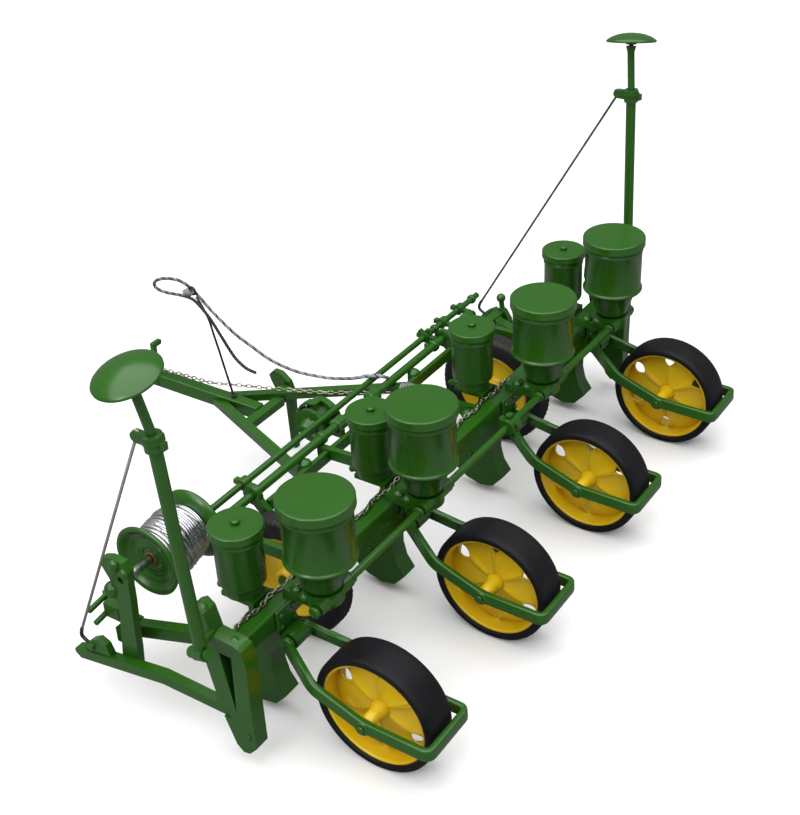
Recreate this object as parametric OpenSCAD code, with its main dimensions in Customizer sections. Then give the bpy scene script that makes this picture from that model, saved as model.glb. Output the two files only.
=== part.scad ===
// Scale model of a four-row pull-type corn planter.
// X runs across the machine, Y forwards along the tongue, Z up.
// Below, y is measured from the axes of the seed hoppers; assembled() then
// moves every node so that the origin lies on the ground under the middle.

/* [Rows] */
// Distance between neighbouring rows
row_pitch = 63.5; // [62:0.5:65]
// How far each seed hopper stands to the side of its own row
hopper_offset = 5.5; // [4:0.5:6]
// How far each fertilizer hopper stands to the other side
fert_offset = 1.4; // [0:0.2:2]

/* [Frame] */
// Half length of the main toolbar
toolbar_half = 114; // [113:1:114.2]
// Side of the square toolbar
toolbar_side = 6.4; // [5.8:0.2:6.4]
// Height of the toolbar's top face
toolbar_top = 42; // [41.8:0.1:42]
// Radius of the round front tube
front_tube_r = 1.5; // [1.2:0.1:1.7]
// Distance from the middle of the machine to each end rail
rail_x = 117; // [116.8:0.1:117.4]
// Side of the square end rails
rail_side = 3.2; // [2.8:0.2:3.2]

/* [Hoppers] */
// Outer radius of a seed hopper's lid
seed_lid_r = 11.1; // [11:0.1:11.4]
// Radius of a seed hopper's body
seed_body_r = 10.2; // [10:0.1:10.4]
// Height of the top of the seed lids
seed_top = 80.8; // [78:0.2:84]
// Outer radius of a fertilizer hopper's lid
fert_lid_r = 8.1; // [7.9:0.1:8.4]
// Radius of a fertilizer hopper's body
fert_body_r = 7.2; // [7.1:0.1:7.4]
// Height of the top of the fertilizer lids
fert_top = 66.9; // [65:0.2:70]
// Thickness of the hopper walls
hopper_wall = 0.7; // [0.5:0.1:0.9]

/* [Press wheels] */
// Outer radius of a press wheel
press_r = 19.7; // [19:0.1:20]
// Width of a press wheel's tyre
press_w = 11.5; // [10:0.5:12]
// Radius of the rim inside the tyre
press_rim_r = 17.1; // [16.8:0.1:17.4]
// Distance from the wheel's centre to each fork arm
fork_half = 9.8; // [9.8:0.1:10.2]
// Distance of the press wheel axles behind the hopper axes
press_back = 22; // [21:0.5:23]

/* [Carrying wheels] */
// Outer radius of a carrying wheel
carry_r = 21.5; // [20:0.5:21.5]
// Width of a carrying wheel
carry_w = 8; // [7:0.5:8]

/* [Markers] */
// Distance from the middle of the machine to each marker's hinge
marker_x = 128; // [126:0.5:129]
// Height of the marker tube above its hinge
marker_tube = 69; // [66:1:72]
// Radius of the marker tube
marker_r = 1.8; // [1.7:0.05:1.9]
// Radius of the marker disc
disc_r = 9.1; // [8.4:0.1:9.4]

/* [Reel] */
// Radius of the reel's flanges
reel_r = 12; // [11:0.5:12.5]
// Distance between the outsides of the flanges
reel_w = 24; // [22:1:24]

/* [Tongue] */
// Distance of the tongue's tip ahead of the hopper axes
tongue_tip = 158; // [150:1:160]
// Width of the tongue
tongue_w = 4.6; // [3.8:0.1:4.6]
// Height of the tongue
tongue_h = 5.2; // [4.6:0.1:5.2]
// Radius of the hitch pin hole
hitch_hole_r = 1.3; // [1:0.1:1.4]

/* [Rope and chain] */
// Diameter of the pull rope
rope_d = 1.3; // [1:0.1:1.4]
// Thickness of the chain over its links
chain_d = 1.6; // [1.2:0.1:1.6]

/* [Hidden] */
$fn = 48;

GREEN = [0.10, 0.36, 0.10];
YELLOW = [0.93, 0.72, 0.05];
BLACK = [0.07, 0.07, 0.08];
STEEL = [0.78, 0.78, 0.80];
BRASSY = [0.62, 0.58, 0.46];

// Running clearance of a shaft in its bore
run = 0.05;
// Rearmost face of the forks, ahead face of the tongue, and the shift between
fork_rear = press_back + 22.5;
y_shift = (fork_rear - tongue_tip) / 2;

// Toolbar section
bar_back = 10.8;
bar_front = bar_back + toolbar_side;
bar_under = toolbar_top - toolbar_side;

// Front tube, check shaft and feed shaft run parallel to X
tube_y = 52.5;
tube_z = 41;
shaft_y = 58.5;
shaft_z = 41.5;
shaft_r = 1.15;
feed_y = -3.2;
feed_z = 47.7;
feed_r = 1.2;

// Row pivots of the press wheel forks
pivot_y = 7;
pivot_z = 32.4;
pivot_r = 1.1;
axle_r = 1.2;
arm_t = 2;
arm_h = 4;
shank_half = 3.2;

// Hoppers
fert_y = 23.7;
seed_floor = 49.8;
seed_rim = seed_top - 1.2;
fert_floor = 46.5;
fert_rim = fert_top - 1.2;

// Carrying wheels
carry_x = row_pitch;
carry_y = 33.9;
carry_z = carry_r;
carry_rim_r = 14.5;
carry_pin_r = 1.6;

// Marker arms: the hinge line runs from the arm's foot to the stay's hook
marker_foot = [marker_x, 12, 49];
marker_head = [marker_x + 2, 14.5, 49 + marker_tube];
disc_spot = [marker_x + 5, 16.7, 68.6 + marker_tube];
disc_lean = [0.235, 0.105, 0.965];
disc_pin_r = 0.8;
hinge_r = 2.1;
hinge_pin_r = 1;
stay_hook = [rail_x + 0.3, 73, 21.4];
stay_r = 0.45;

// Reel
reel_x = -101;
hub_r = 4;
wind_r = 9.6;

// Hinge of the parking stand
stand_y = 96.6;
stand_z = 26.4;
stand_pin_r = 0.9;

// Route of the pull rope, from its hitch on the front tube to its cut end
rope_route = [
    [20, 52.5, 43.2], [18.4, 55.8, 43.8], [16.9, 59.2, 43.5], [16.1, 63, 42.2], [15.5, 67.4, 40.8],
    [14.8, 74.8, 39.2], [13.7, 81, 39], [12.4, 86.8, 39.4], [11, 92.9, 40.9], [9.4, 98.5, 43.6],
    [7.6, 103.8, 47.8], [5.8, 108.7, 52], [4.2, 112.5, 56.5], [2.6, 116.8, 61.9], [1.7, 120.8, 66.8],
    [1.2, 124.1, 69.8], [0.6, 127.8, 71.8], [0, 132.3, 72], [-0.2, 137, 70.8], [-0.3, 140.2, 68.6],
    [-0.4, 139.4, 66.5], [-0.5, 135.3, 66], [-0.8, 130.4, 66.6], [-1.1, 125.4, 67.2],
    [-1.3, 121.2, 67], [-1.5, 117.9, 65.2], [-1.7, 113.4, 61], [-2, 108.8, 55], [-2, 105.8, 50.7],
    [-2, 103.2, 47.6], [-2, 99.1, 45.1], [-2, 94.7, 44.4]
];
stand_route = [
    [0, 108.6, 28.9], [0, 110.1, 35.2], [0, 111.6, 41.5], [0, 113, 47.6], [0, 114.5, 53.5],
    [0, 115.9, 59.3], [0, 118.3, 64.3], [0, 120.6, 67.6]
];
tongue_chain_route = [
    [0, 144, 30.4], [0, 136, 31], [0, 128, 31.4], [0, 119.4, 31.8], [2.6, 111.4, 32],
    [5.1, 104, 32], [8.3, 95.4, 32], [11.6, 86.6, 32], [14.9, 78, 32], [20.6, 67.8, 32],
    [26.4, 57.6, 32], [28.6, 53.4, 32.2]
];

function row_x(i) = (i - 2.5) * row_pitch;
function toe(i) = i % 2 == 1 ? 1 : -1;
function hopper_x(i) = row_x(i) + toe(i) * hopper_offset;
function fert_x(i) = row_x(i) - toe(i) * fert_offset;
function mirrored(p, side) = [side * p.x, p.y, p.z];
function unit(v) = v / norm(v);

// One ring of a swept tube, square to the direction d
function ring(p, d, r, n) =
    let (u = unit(cross(d, [1, 0, 0])), v = cross(d, u))
    [for (k = [0:n - 1]) p + r * (cos(360 * k / n) * u + sin(360 * k / n) * v)];

module assembled() translate([0, y_shift, 0]) children();

// Local +Z along the line from a to b
module between(a, b) {
    d = b - a;
    translate(a) rotate([0, acos(d.z / norm(d)), atan2(d.y, d.x)]) children();
}
module rod(a, b, r) between(a, b) cylinder(h = norm(b - a), r = r);
module bar(a, b, w, h) between(a, b)
    translate([-h / 2, -w / 2, 0]) cube([h, w, norm(b - a)]);
module x_rod(x0, x1, y, z, r) translate([x0, y, z]) rotate([0, 90, 0]) cylinder(h = x1 - x0, r = r);
module block(lo, hi) translate(lo) cube(hi - lo);
// Outline drawn in the YZ plane, from x0 to x1
module side_plate(x0, x1) translate([x0, 0, 0]) rotate([90, 0, 90])
    linear_extrude(height = x1 - x0) children();

module tube_along(route, r, n = 8) {
    last = len(route) - 1;
    rings = [for (i = [0:last])
        ring(route[i], unit(route[min(i + 1, last)] - route[max(i - 1, 0)]), r, n)];
    points = [for (one = rings) each one];
    sides = [for (i = [0:last - 1], k = [0:n - 1])
        [i * n + k, (i + 1) * n + k, (i + 1) * n + (k + 1) % n, i * n + (k + 1) % n]];
    start = [[for (k = [0:n - 1]) k]];
    end = [[for (k = [n - 1:-1:0]) last * n + k]];
    polyhedron(points = points, faces = concat(sides, start, end));
}

/* ---- frame ---- */

module toolbar() color(GREEN)
    block([-toolbar_half, bar_back, bar_under], [toolbar_half, bar_front, toolbar_top]);

module front_frame() color(GREEN) {
    x_rod(-76, 78, tube_y, tube_z, front_tube_r);
    for (s = [-1, 1]) {
        x_rod(s * 10 - 2, s * 10 + 2, tube_y, tube_z, front_tube_r + 1);
        x_rod(s * 73.6 - 1.6, s * 73.6 + 1.6, tube_y, tube_z, front_tube_r + 1);
        bar([s * 22, bar_front, 39], [s * 22, tube_y, 37.5], 2.2, 4);
        bar([s * 73.6, bar_front, 39], [s * 73.6, tube_y, 38.5], 2.2, 4);
    }
    block([-55, tube_y - 5, 35], [55, tube_y - 3.4, 39]);
}

module feed_shaft() color(GREEN) {
    x_rod(hopper_x(1) - 8, hopper_x(4) + 8, feed_y, feed_z, feed_r);
    x_rod(6.4, 11.6, feed_y, feed_z, 2.8);
    for (k = [0:4])
        translate([9, feed_y, feed_z]) rotate([72 * k, 0, 0])
            block([-1.3, -0.9, 2], [1.3, 0.9, 4]);
}

module check_shaft() color(GREEN) {
    x_rod(-rail_x + 1, 91, shaft_y, shaft_z, shaft_r);
    for (x = [-54, 54, 66, 78]) {
        x_rod(x - 1.6, x + 1.6, shaft_y, shaft_z, 2);
        block([x - 1, shaft_y + 1, shaft_z - 0.8], [x + 1, shaft_y + 3.6, shaft_z + 0.8]);
        block([x - 1, tube_y + 1.4, shaft_z - 0.9], [x + 1, shaft_y - 1, shaft_z + 0.5]);
    }
    for (k = [0:4])
        translate([54, shaft_y, shaft_z]) rotate([72 * k + 20, 0, 0])
            block([-0.8, -0.6, 1.6], [0.8, 0.6, 3.4]);
}

module rail_outline() polygon([
    [14, 16.4], [40, 16.4], [74.5, 10.4], [76.5, 12], [76.5, 13.4], [75, 14],
    [40, 16.4 + rail_side + 0.4], [14, 16.4 + rail_side]]);
module side_rails() color(GREEN) for (s = [-1, 1]) {
    side_plate(s * rail_x - rail_side / 2, s * rail_x + rail_side / 2) rail_outline();
    // hook casting on the rail's front end
    side_plate(s * rail_x - 1.2, s * rail_x + 1.2)
        polygon([[61, 16], [71.6, 14.4], [71.6, 17], [69, 19.6], [65.6, 21.6], [62.6, 20.4]]);
    rod(mirrored([rail_x - 1.6, 68.5, 17.6], s), mirrored([rail_x + 2.2, 68.5, 17.6], s), 1.1);
}

// Two-legged plate bolted to each end of the toolbar; it carries the rail and the marker
module bracket_outline() difference() {
    polygon([[18.4, 53.2], [20.8, 55], [23.4, 53.2], [23.8, 48], [21.6, 41], [16.6, 17],
             [13, 7], [10.8, 4.8], [8.4, 5.4], [5.8, 8.4], [5.8, 22], [5.6, 40], [6.6, 44.6],
             [9, 45.8], [16.6, 46.4]]);
    polygon([[10.4, 41], [14.8, 41], [11.4, 20]]);
}
module end_brackets() color(GREEN) for (s = [-1, 1]) {
    foot = mirrored(marker_foot, s);
    line = unit(mirrored(stay_hook, s) - foot);
    side_plate(min(s * toolbar_half, s * 119.2), max(s * toolbar_half, s * 119.2))
        difference() {
            bracket_outline();
            // seat of the side rail
            translate([14, 16.4]) square([10, rail_side + 0.6]);
        }
    x_rod(s * 119.2 - 0.5, s * 119.2 + 0.5, 8, 12, 0.8);
    // arm, lug and headed pin of the marker's hinge
    rod(mirrored([118, 17.4, 46.4], s), foot + 3.9 * line, 1.2);
    rod(foot + 2.7 * line, foot + 5 * line, 1.7);
    rod(foot - 2.9 * line, foot + 3 * line, hinge_pin_r);
    rod(foot - 3.4 * line, foot - 2.6 * line, 1.6);
}

// Each beam ends flat against the outer opener
module lower_beams() color(GREEN) for (s = [-1, 1]) difference() {
    translate([0, 0, 18.6]) linear_extrude(height = 4.6)
        polygon([[s * 105.2, 59], [s * 109, 59], [s * 97.4, 27], [s * 93.6, 27]]);
    translate([s * 1.5 * row_pitch, 0, 0]) side_plate(-shank_half, shank_half) boot_outline();
}

module left_post_outline() difference() {
    union() {
        polygon([[52.8, 14.2], [59.4, 13.8], [58.2, 22], [57, 32], [56.8, 40], [58, 46], [60.6, 50.5],
                 [60, 53], [56.5, 54.4], [51.5, 54.2], [49.8, 51.5], [50.6, 46], [50.8, 40],
                 [51.6, 30], [52, 22]]);
        translate([shaft_y, shaft_z]) circle(r = 2.4);
    }
    translate([shaft_y, shaft_z]) circle(r = shaft_r + run);
    translate([53.4, 47.4]) circle(r = 1.2);
}
module rail_posts() color(GREEN) {
    outer = rail_x - rail_side / 2;
    inner = outer - 2.6;
    side_plate(-outer, -inner) left_post_outline();
    // low casting, neck and bulb at the right-hand end
    side_plate(inner, outer)
        polygon([[56, 14], [64, 12.8], [64.4, 18], [63, 22], [61, 24.6], [58.8, 23.4], [56.6, 20]]);
    rod([outer - 1.3, 60.4, 23], [outer - 1.3, 61, 28.6], 1.1);
    translate([outer - 1.3, 61, 28.6]) sphere(r = 1.9);
    // inner feet that carry the lower beams
    for (s = [-1, 1])
        block([min(s * inner, s * 104.6), 59, 18.2], [max(s * inner, s * 104.6), 63, 23.4]);
    // fork of the check-row wire guide
    block([-inner, 60.6, 26.6], [-109.4, 66.4, 31.6]);
    block([-109.4, 63.6, 26.4], [-105.6, 69.8, 32.2]);
    rod([-107.6, 68.8, 31], [-117.2, 67.8, 31], 0.9);
    rod([-107.6, 67.2, 27], [-117, 66.2, 26.8], 0.9);
}

/* ---- rows ---- */

module row_base(i) translate([hopper_x(i), 0, 0]) difference() {
    union() {
        translate([0, 0, seed_floor - 4.2]) cylinder(h = 4.2, r = 5.9);
        translate([0, 0, toolbar_top]) cylinder(h = seed_floor - 4.2 - toolbar_top, r1 = 2.2, r2 = 4.4);
        block([-2.4, 0, toolbar_top], [2.4, 13.4, toolbar_top + 2.6]);
        x_rod(-7.6, 7.6, feed_y, feed_z, 2.1);
    }
    x_rod(-10, 10, feed_y, feed_z, feed_r + run);
}
module fert_base(i) translate([fert_x(i), 0, 0]) {
    translate([0, fert_y, toolbar_top + 1.4]) cylinder(h = fert_floor - toolbar_top - 1.4, r = 5.6);
    block([-4, bar_front, toolbar_top - 0.2], [4, 29, toolbar_top + 1.4]);
    block([-4, bar_front, bar_under], [4, bar_front + 2, toolbar_top]);
}
module row_bases() color(GREEN) for (i = [1:4]) {
    row_base(i);
    fert_base(i);
}

module boot_outline() {
    polygon([
        [12, 35.6], [23, 35.6], [25.6, 31], [28, 25], [31.6, 19], [33.6, 13], [31, 8], [26, 4.6],
        [20.5, 3], [15.4, 4], [11.2, 8.8], [14, 13], [15.2, 18], [15, 24], [12, 29]]);
    // lug behind the shank for the pivot of the press wheel's fork
    polygon([[12.5, 35], [7, 35.1], [5.4, 30.2], [12.5, 27.8]]);
    translate([pivot_y, pivot_z]) circle(r = 2.7);
}
module openers() color(GREEN) for (i = [1:4])
    translate([row_x(i), 0, 0])
        side_plate(-shank_half, shank_half) difference() {
            boot_outline();
            translate([pivot_y, pivot_z]) circle(r = pivot_r + run);
        }

module seed_hopper(i) color(GREEN) translate([hopper_x(i), 0, 0]) {
    r = seed_body_r;
    rotate_extrude() polygon([
        [5.2, seed_floor], [5.8, 51.4], [8.7, 60], [r + 0.3, 60.2], [r + 0.5, 60.7], [r + 0.3, 61.2],
        [r - 0.1, 61.4], [r, 75.6], [r + 0.3, 75.9], [r + 0.3, 76.5], [r, 76.8], [r, seed_rim],
        [r - hopper_wall, seed_rim], [r - hopper_wall, 61.6], [8, 60.8], [5, 52], [4.4, 51],
        [4.4, seed_floor]]);
}
module seed_lid(i) color(GREEN) translate([hopper_x(i), 0, 0])
    rotate_extrude() polygon([
        [0, seed_rim], [seed_body_r + 0.4, seed_rim], [seed_body_r + 0.4, seed_rim - 1.9],
        [seed_lid_r, seed_rim - 1.9], [seed_lid_r, seed_top - 0.9], [seed_lid_r - 0.3, seed_top - 0.3],
        [seed_lid_r - 1, seed_top - 0.1], [seed_lid_r - 3, seed_top], [0, seed_top]]);

module fert_hopper(i) color(GREEN) translate([fert_x(i), fert_y, 0]) {
    r = fert_body_r;
    rotate_extrude() polygon([
        [0, fert_floor], [r - 1, fert_floor], [r - 0.3, fert_floor + 0.6], [r - 0.3, 61.4], [r + 0.1, 61.8],
        [r + 0.1, 62.4], [r, 62.8], [r, fert_rim], [r - hopper_wall, fert_rim],
        [r - hopper_wall - 0.2, fert_floor + 1.2], [0, fert_floor + 1.2]]);
}
module fert_lid(i) color(GREEN) translate([fert_x(i), fert_y, 0])
    rotate_extrude() polygon([
        [0, fert_rim], [fert_body_r + 0.3, fert_rim], [fert_body_r + 0.3, fert_rim - 1.4],
        [fert_lid_r, fert_rim - 1.4], [fert_lid_r, fert_top - 0.6], [fert_lid_r - 0.6, fert_top],
        [1.4, fert_top], [1.4, fert_top + 0.7], [0.9, fert_top + 1.1], [0, fert_top + 1.2]]);

/* ---- press wheels ---- */

module fork_arm(s) {
    rear = [s * fork_half, -fork_rear + 1.1, 19.7];
    axle = [s * fork_half, -press_back, press_r + 0.3];
    bend = [s * fork_half, -5, 26];
    front = [s * 4.6, pivot_y, pivot_z];
    bar(rear, axle, arm_t, arm_h);
    bar(axle, bend, arm_t, arm_h);
    bar(bend, front, arm_t, arm_h);
    x_rod(bend.x - arm_t / 2, bend.x + arm_t / 2, bend.y, bend.z, arm_h / 2 + 0.2);
    x_rod(min(s * 3.5, s * 5.5), max(s * 3.5, s * 5.5), pivot_y, pivot_z, 2.4);
    x_rod(min(s * 8.7, s * 11.1), max(s * 8.7, s * 11.1), -press_back, press_r, 2.5);
    x_rod(min(s * 11.1, s * 11.8), max(s * 11.1, s * 11.8), -press_back, press_r, 1.2);
}
module press_fork(i) color(GREEN) translate([row_x(i), 0, 0]) {
    for (s = [-1, 1]) fork_arm(s);
    block([-fork_half - 1.2, -fork_rear, 17.2], [fork_half + 1.2, -fork_rear + 2.1, 22.1]);
    x_rod(-fork_half, fork_half, -press_back, press_r, axle_r);
    x_rod(-4.6, 4.6, pivot_y, pivot_z, pivot_r);
}
module on_press_axle(i) translate([row_x(i), -press_back, press_r]) rotate([0, 90, 0]) children();
module press_tyre(i) color(BLACK) on_press_axle(i) {
    h = press_w / 2;
    rotate_extrude($fn = 96) polygon([
        [press_rim_r, -h], [press_r - 1.1, -h], [press_r - 0.5, -h + 0.5], [press_r - 0.1, -h / 2],
        [press_r, 0], [press_r - 0.1, h / 2], [press_r - 0.5, h - 0.5], [press_r - 1.1, h],
        [press_rim_r, h]]);
}
module press_rim(i) color(YELLOW) on_press_axle(i) difference() {
    union() {
        difference() {
            translate([0, 0, -4.6]) cylinder(h = 9.2, r = press_rim_r, $fn = 96);
            translate([0, 0, -5]) cylinder(h = 10, r = press_rim_r - 0.9, $fn = 96);
        }
        translate([0, 0, -1]) cylinder(h = 2, r = press_rim_r - 0.5, $fn = 96);
        translate([0, 0, -8.4]) cylinder(h = 16.8, r = 2.3);
    }
    translate([0, 0, -10]) cylinder(h = 20, r = axle_r + run);
    for (k = [0:5]) rotate(60 * k + 30) translate([13.2, 0, -2]) cylinder(h = 4, r = 1.6);
}

/* ---- carrying wheels ---- */

module wheel_arm(s) color(GREEN) {
    x = s * (carry_x - 6.6);
    difference() {
        union() {
            bar([x, tube_y, tube_z], [x, carry_y, carry_z], 2, 4);
            x_rod(x - 1, x + 1, tube_y, tube_z, 3.4);
            x_rod(x - 1, x + 1, carry_y, carry_z, 3);
        }
        x_rod(x - 2, x + 2, tube_y, tube_z, front_tube_r + run);
    }
    x_rod(min(x, s * (carry_x + 5.4)), max(x, s * (carry_x + 5.4)), carry_y, carry_z, carry_pin_r);
}
module on_carry_axle(s) translate([s * carry_x, carry_y, carry_z]) rotate([0, 90, 0]) children();
module carry_tyre(s) color(BLACK) on_carry_axle(s) {
    h = carry_w / 2;
    rotate_extrude($fn = 96) polygon([
        [carry_rim_r, -h + 1], [carry_rim_r + 1.5, -h], [carry_r - 2, -h], [carry_r - 0.6, -h + 0.9],
        [carry_r, -h / 3], [carry_r, h / 3], [carry_r - 0.6, h - 0.9], [carry_r - 2, h],
        [carry_rim_r + 1.5, h], [carry_rim_r, h - 1]]);
}
module carry_rim(s) color(YELLOW) on_carry_axle(s) difference() {
    union() {
        difference() {
            translate([0, 0, -carry_w / 2 + 1]) cylinder(h = carry_w - 2, r = carry_rim_r, $fn = 96);
            translate([0, 0, -carry_w]) cylinder(h = 2 * carry_w, r = carry_rim_r - 1, $fn = 96);
        }
        translate([0, 0, -0.9]) cylinder(h = 1.8, r = carry_rim_r - 0.5, $fn = 96);
        translate([0, 0, -4.6]) cylinder(h = 9.2, r = 3.2);
    }
    translate([0, 0, -carry_w]) cylinder(h = 2 * carry_w, r = carry_pin_r + run);
}

/* ---- reel ---- */

module reel() color(GREEN) translate([reel_x, shaft_y, shaft_z]) rotate([0, 90, 0]) {
    w = reel_w;
    rotate_extrude($fn = 72) polygon([
        [shaft_r + run, 3], [hub_r - 1, 3], [reel_r - 3, 2.4], [reel_r - 1.4, 0.4], [reel_r - 0.4, 0],
        [reel_r, 0.8], [reel_r - 0.8, 1.8], [reel_r - 2.4, 3.2], [hub_r, 4.2], [hub_r, w - 4.2],
        [reel_r - 2.4, w - 3.2], [reel_r - 0.8, w - 1.8], [reel_r, w - 0.8], [reel_r - 0.4, w],
        [reel_r - 1.4, w - 0.4], [reel_r - 3, w - 2.4], [hub_r - 1, w - 3], [shaft_r + run, w - 3]]);
}
module wire_pack() color(STEEL) translate([reel_x, shaft_y, shaft_z]) rotate([0, 90, 0]) {
    w = reel_w;
    rotate_extrude($fn = 72) polygon([
        [hub_r, 4.5], [wind_r - 1.2, 3.8], [wind_r - 0.4, w * 0.25], [wind_r, w * 0.4],
        [wind_r, w * 0.6], [wind_r - 0.4, w * 0.75], [wind_r - 1.2, w - 3.8], [hub_r, w - 4.5]]);
}

/* ---- markers ---- */

module marker_arm(s) color(GREEN) {
    foot = mirrored(marker_foot, s);
    head = mirrored(marker_head, s);
    spot = mirrored(disc_spot, s);
    up = unit(head - foot);
    lean = unit(mirrored(disc_lean, s));
    line = unit(mirrored(stay_hook, s) - foot);
    difference() {
        union() {
            rod(foot + 3.4 * up, head, marker_r);
            // flattened foot round the hinge pin
            translate([foot.x, 0, 0]) side_plate(-1, 1)
                polygon([[10.9, 48.6], [10.5, 51.4], [10.6, 54], [13.9, 54], [14, 50.6],
                         [13.4, 47.4], [12.3, 46.9]]);
            rod(foot - 2.2 * line, foot + 2.2 * line, hinge_r);
        }
        rod(foot - 4 * line, foot + 4 * line, hinge_pin_r + run);
    }
    // clamp with its lugs, and the rod that carries the disc
    rod(head - 3.2 * up, head + 1.2 * up, marker_r + 0.8);
    rod(head - 0.8 * up, head + 0.2 * up, marker_r + 1.2);
    block(head + [-0.9, 1, -2.6], head + [0.9, 5.2, 0.6]);
    x_rod(head.x - 0.9, head.x + 0.9, head.y + 5.2, head.z - 1, 1.6);
    block(head + [-0.8, -4, -2.2], head + [0.8, -1, 0]);
    rod(head + 1 * up, spot - 5 * lean, 1.3);
    between(spot - 5.4 * lean, spot - 3.1 * lean) cylinder(h = 2.3, r1 = 1.3, r2 = 1.9);
    rod(spot - 3.2 * lean, spot + 0.2 * lean, disc_pin_r);
}
module marker_disc(s) color(GREEN) {
    spot = mirrored(disc_spot, s);
    up = unit(mirrored(disc_lean, s));
    bore = disc_pin_r + run;
    between(spot, spot + up) rotate_extrude($fn = 72) polygon([
        [bore, -2.6], [2, -2.6], [2.1, -0.8], [5, -0.9], [disc_r - 0.2, -1.9], [disc_r, -1.6],
        [disc_r - 0.3, -1.2], [disc_r * 0.7, 0.4], [disc_r * 0.4, 1.2], [disc_r * 0.15, 1.5],
        [0, 1.55], [0, 0.6], [bore, 0.6]]);
}
module stay_wire(s) color(STEEL) {
    top = mirrored(marker_head, s) + [0, 6.1, -2.6];
    rod(top, mirrored(stay_hook, s), stay_r);
}

/* ---- tongue ---- */

module tongue_beam() color(GREEN) difference() {
    union() {
        block([-tongue_w / 2, 96.4, 23.6], [tongue_w / 2, tongue_tip - 9.4, 23.6 + tongue_h]);
        block([-tongue_w / 2 - 1, tongue_tip - 14, 24.9], [tongue_w / 2 + 1, tongue_tip - 5.6, 27]);
        translate([0, tongue_tip - 4, 24.9]) cylinder(h = 2.1, r = 4);
        block([-0.9, 145.5, 28], [0.9, 147.3, 40.4]);
        block([-0.9, 145.5, 39.2], [3.9, 147.3, 41.4]);
    }
    translate([0, tongue_tip - 4, 20]) cylinder(h = 12, r = hitch_hole_r);
}
module tongue_braces() color(GREEN) {
    for (s = [-1, 1]) difference() {
        bar([s * 1.2, 116, 25.6], [s * 34, tube_y - 4.1, 33.2], 3.4, 2.8);
        block([-tongue_w / 2, 90, 15], [tongue_w / 2, 130, 35]);
    }
    block([-9.4, 92.6, 25], [9.4, 96.4, 28]);
    // lug that carries the parking stand's pin
    difference() {
        block([11.4, 94.4, 24.2], [16.4, 98.8, 28.6]);
        x_rod(12.4, 17, stand_y, stand_z, stand_pin_r + run);
    }
    for (s = [-1, 1]) block([s * 33 - 2.4, tube_y - 3.4, 31.6], [s * 33 + 2.4, tube_y - 1, 38.6]);
}
module clutch_drum() color(GREEN) {
    x_rod(-4.2, -1.6, 64.7, 36.4, 6.9);
    x_rod(-9.6, -4.2, 64.7, 36.4, 5.2);
    x_rod(-11, -9.6, 64.7, 36.4, 6.4);
    translate([-14.6, 64.7, 36.4]) rotate([0, 90, 0]) cylinder(h = 3.6, r1 = 2, r2 = 3.6);
    // curved guard over the drum
    for (k = [0:6]) translate([0, 64.7, 36.4]) rotate([18 * k - 20, 0, 0])
        block([-8.4, 7, -1.4], [-5.2, 7.8, 1.4]);
    translate([0, 64.7, 36.4]) rotate([34, 0, 0]) block([-7.4, 4.8, -0.8], [-6.2, 7.4, 0.8]);
    block([-7.6, tube_y + 1.2, 33], [-5.6, 60.4, 37.4]);
}
module parking_stand() color(GREEN) {
    x = 18.3;
    side_plate(x - 1.2, x + 1.2) polygon([
        [95.8, 0], [98, 0], [98.6, 20], [101.6, 22.4], [104.4, 27.6], [105.4, 30.4], [103.4, 32.6],
        [100, 32.4], [96.4, 29.6], [94.8, 25]]);
    x_rod(13.4, x, stand_y, stand_z, stand_pin_r);
}

/* ---- rope and chain ---- */

module chains() color(BRASSY) {
    tube_along(tongue_chain_route, chain_d / 2);
    x_rod(-111, 40, 15.6, toolbar_top + chain_d / 2, chain_d / 2);
}
module pull_rope() color([0.35, 0.36, 0.38]) tube_along(rope_route, rope_d / 2);
module rope_stand() color(BLACK) tube_along(stand_route, 0.45);

assembled() toolbar();
assembled() front_frame();
assembled() feed_shaft();
assembled() check_shaft();
assembled() side_rails();
assembled() end_brackets();
assembled() lower_beams();
assembled() rail_posts();
assembled() row_bases();
assembled() openers();
assembled() tongue_beam();
assembled() tongue_braces();
assembled() clutch_drum();
assembled() parking_stand();
assembled() chains();
assembled() pull_rope();
assembled() rope_stand();
for (i = [1:4]) {
    assembled() seed_hopper(i);
    assembled() seed_lid(i);
    assembled() fert_hopper(i);
    assembled() fert_lid(i);
    assembled() press_fork(i);
    assembled() press_tyre(i);
    assembled() press_rim(i);
}
for (hand = ["left", "right"]) {
    s = hand == "left" ? -1 : 1;
    assembled() wheel_arm(s);
    assembled() carry_tyre(s);
    assembled() carry_rim(s);
    assembled() marker_arm(s);
    assembled() marker_disc(s);
    assembled() stay_wire(s);
}
assembled() reel();
assembled() wire_pack();
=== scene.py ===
# %% [markdown]
# # A corn planter as a small die-cast model
# The real object is a scale model of a machine that a tractor pulls over a field: four rows, each
# with a tall seed hopper, a smaller fertilizer hopper, a pointed opener and a press wheel that
# closes the soil. Its castings are dipped in thick green enamel, its wheel centres are yellow, and
# wire, chain and rope hang on it. The frame below is the engineering model, and everything that
# this lesson makes is placed on it.

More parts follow.
